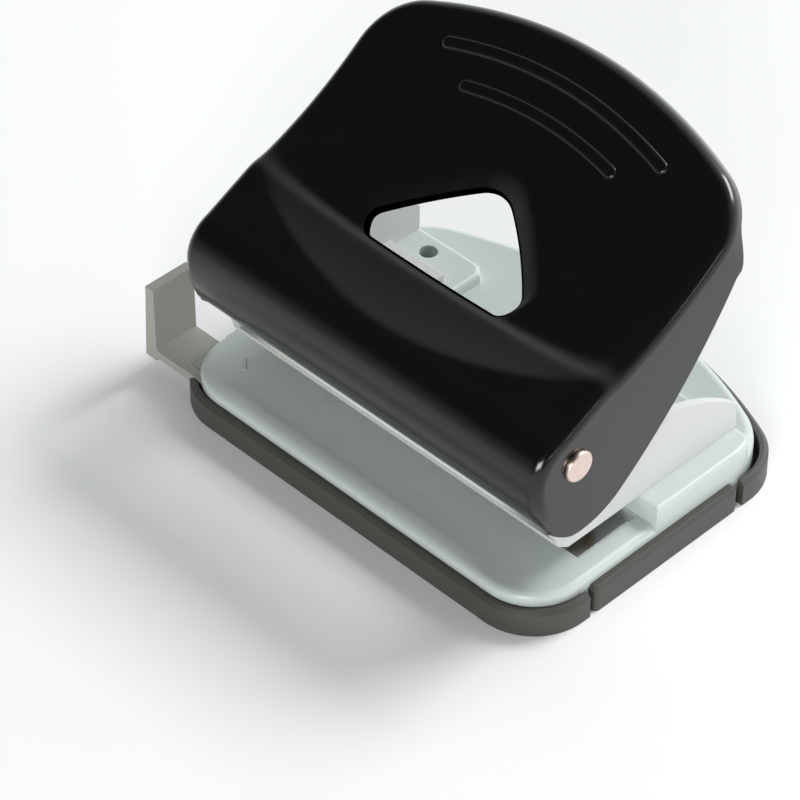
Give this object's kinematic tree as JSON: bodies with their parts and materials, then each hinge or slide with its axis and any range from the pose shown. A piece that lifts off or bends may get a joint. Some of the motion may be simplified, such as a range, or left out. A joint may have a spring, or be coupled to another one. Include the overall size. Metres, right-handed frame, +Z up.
{
  "type": "hole punch",
  "caption": "Desk hole punch with a wide pressed steel handle, grey frame and base, sliding paper guide and a tray for the chips.",
  "frame": {"origin": "on the underside of the chip tray, on the middle plane of the punch", "axes": "+Z up, X across the punch with the paper guide at -X, paper goes in from -Y"},
  "size_m": [0.1181, 0.0871, 0.0818],
  "materials": {
    "handle_paint": "semi-gloss black enamel on pressed steel",
    "frame_paint": "satin light grey enamel on steel",
    "base_plastic": "light grey moulded plastic, satin gloss",
    "tray_plastic": "dark grey flexible plastic, fine texture",
    "guide_plastic": "warm grey moulded plastic",
    "rivet_nickel": "bright nickel plate",
    "bright_steel": "zinc plated steel",
    "plain_steel": "plain spring steel",
    "pin_steel": "ground hardened steel",
    "bush_brass": "turned brass",
    "washer_nylon": "natural nylon"
  },
  "bodies": {
    "base": {"base_body": "base_plastic", "die_plate": "bright_steel", "die_rivets": "bright_steel", "punch_frame": "frame_paint", "frame_screws": "bright_steel", "side_strip_left": "tray_plastic", "side_strip_right": "tray_plastic", "pin_bush_left": "bush_brass", "pin_bush_right": "bush_brass", "return_spring_left": "plain_steel", "return_spring_right": "plain_steel", "pivot_rivet_left": "rivet_nickel", "pivot_rivet_right": "rivet_nickel", "pivot_washer_left": "washer_nylon", "pivot_washer_right": "washer_nylon", "guide_retainer": "base_plastic", "retainer_screws": "bright_steel", "guide_click_spring": "plain_steel"},
    "handle": {"handle": "handle_paint", "pressure_bar": "plain_steel"},
    "pin_left": {"punch_pin_left": "pin_steel", "pin_clip_left": "plain_steel"},
    "pin_right": {"punch_pin_right": "pin_steel", "pin_clip_right": "plain_steel"},
    "guide": {"paper_guide": "guide_plastic"},
    "tray": {"chip_tray": "tray_plastic"}
  },
  "joints": [
    {"name": "handle_press", "type": "hinge", "parent": "base", "child": "handle", "pos_m": [0, -0.02, 0.039], "axis": [-1, 0, 0], "range_deg": [0, 28], "stiffness_Nm_per_rad": 0.3, "springref_deg": -22.92},
    {"name": "left_pin_travel", "type": "slide", "parent": "base", "child": "pin_left", "axis": [0, 0, -1], "range_m": [0, 0.006], "deforming": ["return_spring_left"]},
    {"name": "right_pin_travel", "type": "slide", "parent": "base", "child": "pin_right", "axis": [0, 0, -1], "range_m": [0, 0.006], "deforming": ["return_spring_right"]},
    {"name": "guide_slide", "type": "slide", "parent": "base", "child": "guide", "axis": [-1, 0, 0], "range_m": [-0.0055, 0.072]},
    {"name": "tray_open", "type": "hinge", "parent": "base", "child": "tray", "pos_m": [0, -0.0342, 0.006], "axis": [-1, 0, 0], "range_deg": [0, 75]}
  ],
  "couplings": [
    {"joint": "left_pin_travel", "follows": "handle_press", "m_per_rad": 0.012},
    {"joint": "right_pin_travel", "follows": "handle_press", "m_per_rad": 0.012}
  ]
}
